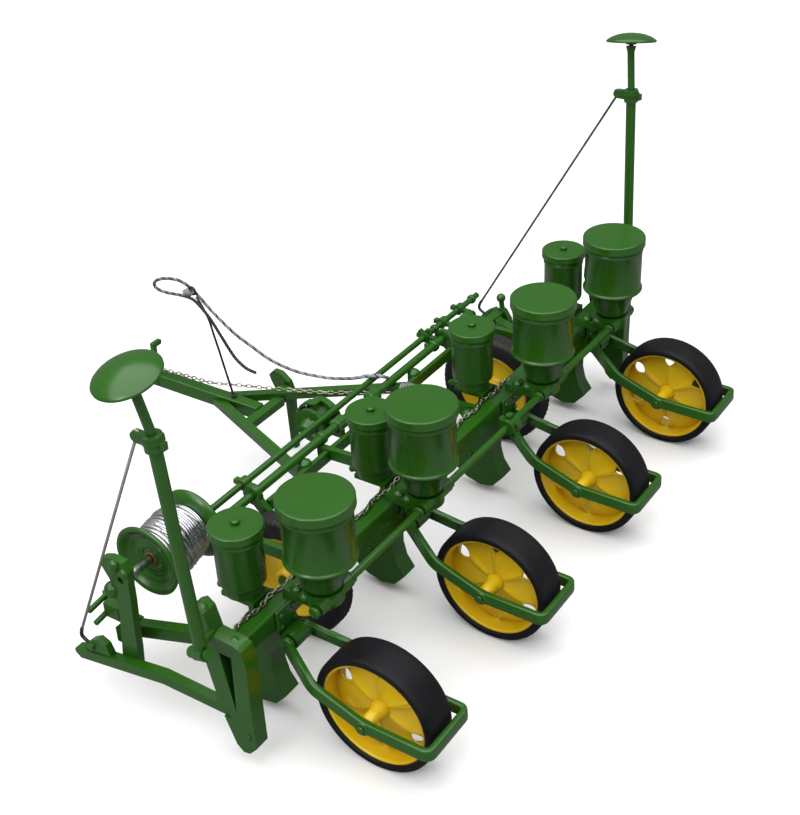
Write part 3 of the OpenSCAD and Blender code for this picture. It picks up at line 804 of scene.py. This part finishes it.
def press_tyre_profile(r_in, r_out, half):
    """A thin smooth band with round shoulders and a barely crowned tread."""
    side = [
        (r_in, half - 0.5), (r_in + 0.3, half - 0.1), (r_in + 0.9, half), (r_out - 1.2, half),
        (r_out - 0.7, half - 0.15), (r_out - 0.3, half - 0.55), (r_out - 0.12, half - 1.2),
        (r_out - 0.04, half * 0.5),
    ]  # fmt: skip
    return side + [(r_out, 0)] + [(r, -h) for r, h in reversed(side)] + [side[0]]


for n in (1, 2, 3, 4):
    centre = middle(f"press_tyre_{n}")
    body = f"press_wheel_{n}"
    form = Form().lathe(press_tyre_profile(17.1, 19.7, 5.75), centre, (1, 0, 0), 128)
    make(f"press_band_{n}", form, press_rubber, body, [f"press_tyre_{n}"])
    form = Form().lathe(press_rim_profile(17.1, 4.9), centre, (1, 0, 0), 112)
    form.lathe(HUB_PROFILE, centre, (1, 0, 0), 36)
    make(f"press_wheel_rim_{n}", form, yellow_enamel, body, [f"press_rim_{n}"])
    disc = make(
        f"press_wheel_petals_{n}", petal_disc(centre, 2.5, 16.6), yellow_enamel, body,
    )  # fmt: skip
    thick = disc.modifiers.new("sheet", "SOLIDIFY")
    thick.thickness = 0.5 * MM
    thick.offset = 0
print("press wheels done")

# %% [markdown]
# ## Press wheel forks
# A flat bar is bent round each press wheel and draws in to the pivot on the row's opener. The bar
# is swept along its line with rounded bends, then gets a cast boss and a bolt head at the axle.


# %% Forks
def fork_form(x):
    form = Form()
    arm = [(4.6, *FORK_PIVOT), (9.8, -5, 26), (9.8, -22, 20), (9.8, -43.4, 19.7)]
    left = [spot(x - a, y, z) for a, y, z in arm]
    right = [spot(x + a, y, z) for a, y, z in arm]
    path = rounded_path([*left, *reversed(right)], 2.2 * MM, 5)
    form.sweep(path, bar_section(2.0, 4.0, 0.5), first_side=Vector((1, 0, 0)))
    for s in (-1, 1):
        form.rod(spot(x + s * 3.5, *FORK_PIVOT), spot(x + s * 5.5, *FORK_PIVOT), 2.4, 24, 0.5)
        form.rod(spot(x + s * 8.8, *PRESS_AXLE), spot(x + s * 11.1, *PRESS_AXLE), 2.4, 24, 0.5)
        form.rod(spot(x + s * 11, *PRESS_AXLE), spot(x + s * 11.8, *PRESS_AXLE), 1.3, 16, 0.4)
    form.rod(spot(x - 9, *PRESS_AXLE), spot(x + 9, *PRESS_AXLE), 1.2, 16)
    form.rod(spot(x - 4.8, *FORK_PIVOT), spot(x + 4.8, *FORK_PIVOT), 1.1, 16)
    return form


for n in (1, 2, 3, 4):
    x = x_of(f"press_tyre_{n}")
    make(
        f"press_fork_bar_{n}", fork_form(x), green_enamel, f"press_gang_{n}",
        [f"press_fork_{n}"],
    )  # fmt: skip
print("forks done")

# %% [markdown]
# ## Carrying wheels
# Two rubber-tyred wheels under the toolbar carry the machine. Their tread is a fine grid of small
# blocks. The tread is modelled: every point of the tyre's skin is pulled in where a groove runs.


# %% Treaded tyres
def tread_tyre(centre, r_in, r_out, half, lugs=64):
    form = Form()
    across = [(-1, 1.6), (-0.97, 0.9), (-0.86, 0.35), (-0.7, 0.08)]
    rows_of_blocks = 5
    for k in range(rows_of_blocks):
        a = -0.62 + 1.24 * k / rows_of_blocks
        w = 1.24 / rows_of_blocks
        across += [(a + w * 0.08, 0), (a + w * 0.2, -1), (a + w * 0.8, -1), (a + w * 0.92, 0)]
    across += [(0.7, 0.08), (0.86, 0.35), (0.97, 0.9), (1, 1.6)]
    rows = []
    for i in range(lugs * 4):
        a = 2 * math.pi * (i + (0.35 if i % 4 in (1, 3) else 0)) / (lugs * 4)
        block = i % 4 in (1, 2)
        row = []
        for w, drop in across:
            r = r_out - 0.35 - max(drop, 0) * 1.4
            if drop < 0 and block:
                r += 0.35
            if drop > 0 and block:
                r += 0.18
            row.append((r, w * half))
        row += [(r_in + 1.2, half), (r_in, half - 0.9), (r_in, -half + 0.9), (r_in + 1.2, -half)]
        rows.append(
            [
                centre + Vector((h * MM, r * MM * math.cos(a), r * MM * math.sin(a)))
                for r, h in row
            ]
        )
    return form.skin(rows, loop=True)


CARRY_RIM = [
    (14.5, -3.0), (14.1, -3.3), (13.6, -3.1), (13.4, -2.4), (12.2, -0.4), (9.5, 0.2), (6.0, -0.5),
    (4.2, -0.9), (3.6, -1.6), (3.3, -4.2), (2.9, -4.6), (1.65, -4.6), (1.65, 4.6), (2.9, 4.6),
    (3.3, 4.2), (3.6, 0.4), (4.2, 0.1), (6.0, 0.5), (9.5, 1.2), (12.2, 0.7), (13.4, 2.4),
    (13.6, 3.1), (14.1, 3.3), (14.5, 3.0), (14.5, -3.0),
]  # fmt: skip
for side in ("left", "right"):
    centre = middle(f"carry_tyre_{side}")
    body = f"carry_wheel_{side}"
    form = tread_tyre(centre, 14.5, 21.5, 4.0)
    make(f"tread_tyre_{side}", form, tread_rubber, body, [f"carry_tyre_{side}"])
    form = Form().lathe(CARRY_RIM, centre, (1, 0, 0), 88)
    make(f"carry_disc_{side}", form, yellow_enamel, body, [f"carry_rim_{side}"])
print("carrying wheels done")

# %% [markdown]
# ## Markers
# At each end an arm stands up with a dished disc on top. Folded down, it scratches a line in the
# soil for the next pass. The arm itself stays as the engineering model has it; the disc gets a
# softly domed shape, and the stay is a thin bright wire that ends in a hook.


# %% Marker discs
DISC_PROFILE = [
    (0, 1.55), (1.2, 1.52), (3.0, 1.35), (5.0, 0.95), (7.2, 0.15), (8.5, -0.65), (8.92, -1.0),
    (9.1, -1.3), (9.06, -1.6), (8.8, -1.75), (8.4, -1.6), (7.2, -1.0), (5.0, -0.5), (2.9, -0.5),
    (2.2, -0.9), (2.0, -1.6), (2.0, -2.3), (1.8, -2.6), (0.86, -2.6), (0.86, 0.6), (0, 0.6),
]  # fmt: skip
for side, s in (("left", -1), ("right", 1)):
    up = Vector((s * 0.235, 0.105, 0.965)).normalized()
    centre = spot(s * 133, 16.7, 137.6)
    form = Form().lathe(DISC_PROFILE, centre, up, 88)
    make(
        f"marker_dish_{side}", form, green_enamel, f"disc_{side}",
        [f"marker_disc_{side}"],
    )  # fmt: skip

# %% Stay wires
for side, s in (("left", -1), ("right", 1)):
    top = spot(s * 130, 20.6, 115.4)
    hook = spot(s * 117.3, 73, 21.4)
    lug = spot(s * 130, 19.7, 117)
    down = (hook - top).normalized()
    form = Form().sweep([lug, top, hook], circle_section(0.45, 10))
    eye = [
        lug + Vector((0, 1.5 * math.cos(a), 1.5 * math.sin(a))) * MM
        for a in (2 * math.pi * k / 20 for k in range(20))
    ]
    form.sweep(eye, circle_section(0.36, 8), first_side=Vector((1, 0, 0)), loop=True)
    # Painted reflection on the left stay: its pale colour stands in for shine; the right stay keeps
    # a plain metal finish.
    finish = wire_painted_reflection if side == "left" else dull_wire
    make(f"stay_{side}", form, finish, f"marker_{side}", [f"stay_wire_{side}"])
    hook_line = [hook - down * 1.5 * MM, hook, spot(s * 117.3, 73.4, 19), spot(s * 117.3, 71, 17.2)]
    form = Form().sweep(smooth_path(hook_line, 5), circle_section(0.6, 9))
    make(f"stay_hook_{side}", form, black_wire, f"marker_{side}")
print("markers done")

# %% [markdown]
# ## The reel of check wire
# On the real machine this wire lies across the field and trips the seed valves at each knot. The
# reel has two dished flanges, and the wire shows as bright turns over a crowned core.


# %% Reel flanges
def flange_profile(s):
    """From the hub out over the rim and back; s is -1 for the outer and 1 for the inner flange."""
    outline = [
        (1.21, 9.0), (2.2, 9.0), (2.5, 8.7), (3.4, 8.6), (3.8, 9.0), (4.6, 9.1), (4.9, 8.8),
        (7.0, 8.9), (7.4, 9.2), (8.4, 9.4), (9.2, 9.8), (10.1, 10.8), (10.6, 11.2), (11.2, 11.4),
        (11.75, 11.3), (12.0, 10.9), (11.9, 10.4), (11.4, 9.9), (10.7, 9.3), (9.4, 8.6),
        (4.0, 7.8), (4.0, 0),
    ]  # fmt: skip
    return [(r, s * h) for r, h in outline]


reel_centre = middle("reel")
form = Form()
for s in (-1, 1):
    form.lathe(flange_profile(s), reel_centre, (1, 0, 0), 88)
make("reel_flanges", form, green_enamel, "reel", ["reel"])
washer = [(1.45, 9.0), (2.1, 9.0), (2.25, 9.2), (2.1, 9.4), (1.45, 9.4), (1.45, 9.0)]
form = Form()
for s in (-1, 1):
    form.lathe([(r, s * h) for r, h in washer], reel_centre, (1, 0, 0), 28)
make("reel_hub_washers", form, hub_rust, "reel")
form = Form().rod(spot(-112.9, *CHECK_SHAFT), spot(-98.8, *CHECK_SHAFT), 1.35, 24, 0.3)
make("reel_axle_sleeve", form, bright_wire, "frame")

# %% Wound wire
random.seed(16)
form = Form()
WIRE_R, TURNS = 0.52, 15
for n in range(TURNS):
    across = -7.6 + 15.2 * n / (TURNS - 1)
    crown = 9.35 - 1.3 * (across / 8.2) ** 2 + random.uniform(-0.12, 0.12)
    lean = random.uniform(-0.5, 0.5)
    ring = [
        reel_centre
        + Vector(
            (
                (across + lean * math.sin(a)) * MM,
                crown * MM * math.cos(a),
                crown * MM * math.sin(a),
            )
        )
        for a in (2 * math.pi * k / 72 for k in range(72))
    ]
    form.sweep(ring, circle_section(WIRE_R, 7), first_side=Vector((1, 0, 0)), loop=True)
for n in range(5):
    start = random.uniform(0, 2 * math.pi)
    across = random.uniform(-6, 3)
    line = []
    for k in range(40):
        a = start + 2.6 * k / 39
        x = across + 4.2 * k / 39
        r = 9.95 - 1.2 * (x / 8.2) ** 2
        line.append(reel_centre + Vector((x * MM, r * MM * math.cos(a), r * MM * math.sin(a))))
    form.sweep(line, circle_section(WIRE_R * 0.9, 7), first_side=Vector((1, 0, 0)))
form.lathe([(3.9, -7.9), (8.2, -7.8), (8.7, 0), (8.2, 7.8), (3.9, 7.9)], reel_centre, (1, 0, 0), 64)
make("wound_wire", form, bright_wire, "reel", ["wire_pack"])
print("reel done")

# %% [markdown]
# ## Chains
# A fine chain runs along the tongue and another along the toolbar. Each link is an oval ring of
# round wire, and every second link is turned a quarter, as in any chain.


# %% Links along a path
def add_link(form, centre, ahead, side, long, wide, wire):
    """One oval link: long along ahead, wide along side."""
    straight = (long - wide) / 2
    ring = []
    for k in range(18):
        a = 2 * math.pi * k / 18
        x = (wide / 2 - wire) * math.cos(a) + (straight if math.cos(a) > 0 else -straight)
        y = (wide / 2 - wire) * math.sin(a)
        ring.append(centre + (ahead * x + side * y) * MM)
    form.sweep(ring, circle_section(wire, 6), first_side=ahead.cross(side), loop=True)


def chain_form(path, long=2.5, wide=1.55, wire=0.23):
    form = Form()
    pitch = (long - 2 * wire * 1.2) * MM
    axes = travelling_axes(path)
    travelled, wanted, n = 0.0, pitch / 2, 0
    for k in range(1, len(path)):
        step = (path[k] - path[k - 1]).length
        while travelled + step >= wanted:
            f = (wanted - travelled) / step
            centre = path[k - 1].lerp(path[k], f)
            ahead, side, up = axes[k]
            lean = math.radians(45 + random.uniform(-14, 14)) * (1 if n % 2 else -1)
            turned = side * math.cos(lean) + up * math.sin(lean)
            add_link(form, centre, ahead, turned, long, wide, wire)
            wanted += pitch
            n += 1
        travelled += step
    return form, n


TONGUE_CHAIN = [
    (0, 144, 30.4), (0, 136, 31), (0, 128, 31.4), (0, 119.4, 31.8), (2.6, 111.4, 32),
    (5.1, 104, 32), (8.3, 95.4, 32), (11.6, 86.6, 32), (14.9, 78, 32), (20.6, 67.8, 32),
    (26.4, 57.6, 32), (28.6, 53.4, 32.2),
]  # fmt: skip
form, links = chain_form(smooth_path([spot(*p) for p in TONGUE_CHAIN], 8))
make("tongue_chain_links", form, chain_metal, "frame", ["chains"])
print("tongue chain links", links)

# %% The chain on the toolbar
lie = [spot(-111 + 151 * k / 80, 15.6 + 0.5 * math.sin(k * 0.9), 42.8) for k in range(81)]
form, links = chain_form(lie)
make("toolbar_chain_links", form, chain_metal, "frame")
print("toolbar chain links", links)

# %% [markdown]
# ## The castings that stay as they are
# Toolbar, brackets, rails, openers and shafts already have their shape. They only need what the dip
# of paint gave them: rounded edges from a Bevel modifier, and the enamel.


# %% Dress the engineering parts
def dress(node, finish, width=0.3, angle=32):
    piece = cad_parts[node]
    piece.data.materials.clear()
    piece.data.materials.append(finish)
    return soften(piece, width, 3, angle)


EDGE_WIDTH = {
    "toolbar": 0.7, "front_frame": 0.5, "check_shaft": 0.4, "feed_shaft": 0.35,
    "side_rails": 0.8, "end_brackets": 0.9, "lower_beams": 0.8, "rail_posts": 0.6,
    "row_bases": 0.6, "openers": 1.2, "tongue_beam": 0.6, "tongue_braces": 0.6,
    "clutch_drum": 0.45, "parking_stand": 0.7, "wheel_arm_left": 0.5, "wheel_arm_right": 0.5,
    "marker_arm_left": 0.4, "marker_arm_right": 0.4,
}  # fmt: skip
for node, width in EDGE_WIDTH.items():
    dress(node, green_enamel, width)
print("dressed", len(EDGE_WIDTH), "castings")

# %% [markdown]
# ## Small castings and bolts
# A die-cast model carries its bolts and clamps as part of each casting. Every opener is held to the
# toolbar by a clamp of two plates, hexagon heads stand on the plates, and rounded lugs sit where
# rods meet the frame. They give the machine its busy, knobbly middle.


# %% Clamps round the toolbar
def casting(name, form, width=0.35):
    return soften(make(name, form, green_enamel, "frame"), width, 3)


for n in (1, 2, 3, 4):
    x = x_of(f"press_tyre_{n}")
    form = Form()
    for y0, y1 in ((9.7, 10.9), (17.1, 18.3)):
        form.block(spot(x - 4.3, y0, 34.4), spot(x + 4.3, y1, 42.3))
    form.block(spot(x - 4.3, 9.7, 33.6), spot(x + 4.3, 18.3, 35.4))
    casting(f"opener_clamp_{n}", form, 0.4)
    bolts = Form()
    for side in (-1, 1):
        for z in (36.4, 40.4):
            bolts.hexagon(spot(x + side * 2.9, 9.8, z), (0, -1, 0), 1.7, 0.8)
            bolts.hexagon(spot(x + side * 2.9, 18.2, z), (0, 1, 0), 1.7, 0.8)
        bolts.hexagon(spot(x + side * 3.1, 24.5, 15), (side, 0, 0), 2.0, 0.8)
        bolts.hexagon(spot(x + side * 3.1, 20, 31.8), (side, 0, 0), 1.8, 0.7)
    casting(f"opener_bolts_{n}", bolts, 0.15)
print("clamps and bolts done")


# %% Lugs, collars and nuts along the frame
def lump(form, centre, radius, flat=0.8):
    """A rounded boss, such as the end of a cast lug."""
    profile = [
        (radius * math.cos(math.radians(a)), flat * radius * math.sin(math.radians(a)))
        for a in range(-90, 91, 15)
    ]
    return form.lathe(profile, centre, (0, 0, 1), 20)


form = Form()
for x in (-20, 50, 70):
    form.rod(spot(x - 1.1, *FRONT_TUBE), spot(x + 1.1, *FRONT_TUBE), 2.2, 24, 0.5)
    form.block(spot(x - 0.8, 52.3, 39.2), spot(x + 0.8, 56.4, 41.2))
for x in (60, 87):
    form.rod(spot(x - 0.9, *CHECK_SHAFT), spot(x + 0.9, *CHECK_SHAFT), 1.8, 20, 0.4)
casting("front_tube_lugs", form, 0.3)
form = Form()
for s in (-1, 1):
    for x in (18.4, 73.6):
        lump(form, spot(s * x, 18.2, 39.4), 2.6)
    lump(form, spot(s * 32.8, 50.2, 38.8), 2.4)
    lump(form, spot(s * 31.6, 51.4, 32.4), 2.2)
    form.hexagon(spot(s * 114, 14, 41.6), (0, 0, 1), 3.0, 1.2)
    lump(form, spot(s * 117.2, 20.6, 52.4), 2.3, 1)
    lump(form, spot(s * 116.6, 10.6, 44.2), 2.1, 1)
lump(form, spot(-114.7, 55.2, 52.2), 2.1, 1)
lump(form, spot(-114.7, 51.8, 50.4), 1.9, 1)
lump(form, spot(-114.6, *CHECK_SHAFT), 2.6, 1)
casting("frame_lugs", form, 0.3)
form = Form()
for n in (1, 2, 3, 4):
    x = x_of(f"seed_hopper_{n}")
    lump(form, spot(x, 9.6, 44.4), 2.3)
    form.hexagon(spot(x, 9.6, 45.6), (0, 0, 1), 1.9, 0.9)
    for side in (-1, 1):
        lump(form, spot(x + side * 4.2, 3.4, 47.4), 1.9)
        ends = [spot(x + side * out, *FEED_SHAFT) for out in (8, 9.4)]
        form.rod(*ends, 1.8, 20, 0.4)
    x = x_of(f"fert_hopper_{n}")
    lump(form, spot(x, 30, 43), 1.9)
    form.rod(spot(x, 30.4, 43), spot(x, 33.2, 41.4), 1.1, 16, 0.3)
casting("row_base_lugs", form, 0.25)
print("lugs done")

# %% [markdown]
# ## Floor and light
# The model stands on a plain white sheet under one very large soft lamp, as in a light tent. The
# sheet is bright to look at but throws only a little light back up, which keeps the sides deep.
# Flat tops see only the pale surroundings in their shine, while rounded edges catch the lamp itself
# as short bright marks. A smaller lamp on the left gives the hoppers a lighter side.

# %% Floor
bpy.ops.mesh.primitive_plane_add(size=6)
floor_sheet = bpy.context.object
floor_sheet.name = "floor_sheet"
paper = bpy.data.materials.new("white paper")
paper.use_nodes = True
paper_shader = paper.node_tree.nodes["Principled BSDF"]
paper_tree = paper.node_tree
seen_by = node_of(paper_tree, "ShaderNodeLightPath")
sheet_tone = node_of(paper_tree, "ShaderNodeMix", data_type="RGBA")
sheet_tone.inputs[MIX_A].default_value = (0.22, 0.22, 0.22, 1)
sheet_tone.inputs[MIX_B].default_value = (0.95, 0.95, 0.95, 1)
link(paper_tree, seen_by.outputs["Is Camera Ray"], sheet_tone.inputs["Factor"])
link(paper_tree, sheet_tone.outputs[MIX_RESULT], paper_shader.inputs["Base Color"])
paper_shader.inputs["Roughness"].default_value = 0.7
paper_shader.inputs["Specular IOR Level"].default_value = 0.1
floor_sheet.data.materials.append(paper)

# %% Sky and lamps
world = bpy.data.worlds.new("studio")
scene.world = world
world.use_nodes = True
world.node_tree.nodes["Background"].inputs["Color"].default_value = (1, 1, 1, 1)
world.node_tree.nodes["Background"].inputs["Strength"].default_value = 0.25


def lamp(name, place, aim, size, watts):
    data = bpy.data.lights.new(name, "AREA")
    data.shape = "RECTANGLE"
    data.size, data.size_y = size
    data.energy = watts
    obj = bpy.data.objects.new(name, data)
    scene.collection.objects.link(obj)
    obj.location = place
    obj.rotation_mode = "QUATERNION"
    obj.rotation_quaternion = (aim - place).to_track_quat("-Z", "Y")
    return obj


heart = spot(0, 30, 30)
lamp("tent", heart + Vector((-0.3, -0.1, 1.5)), heart, (3.2, 3.2), 70)
lamp("side", heart + Vector((-1.1, 0.1, 0.75)), heart, (0.35, 0.5), 2.5)
scene.view_settings.view_transform = "Standard"
print("lights ready")
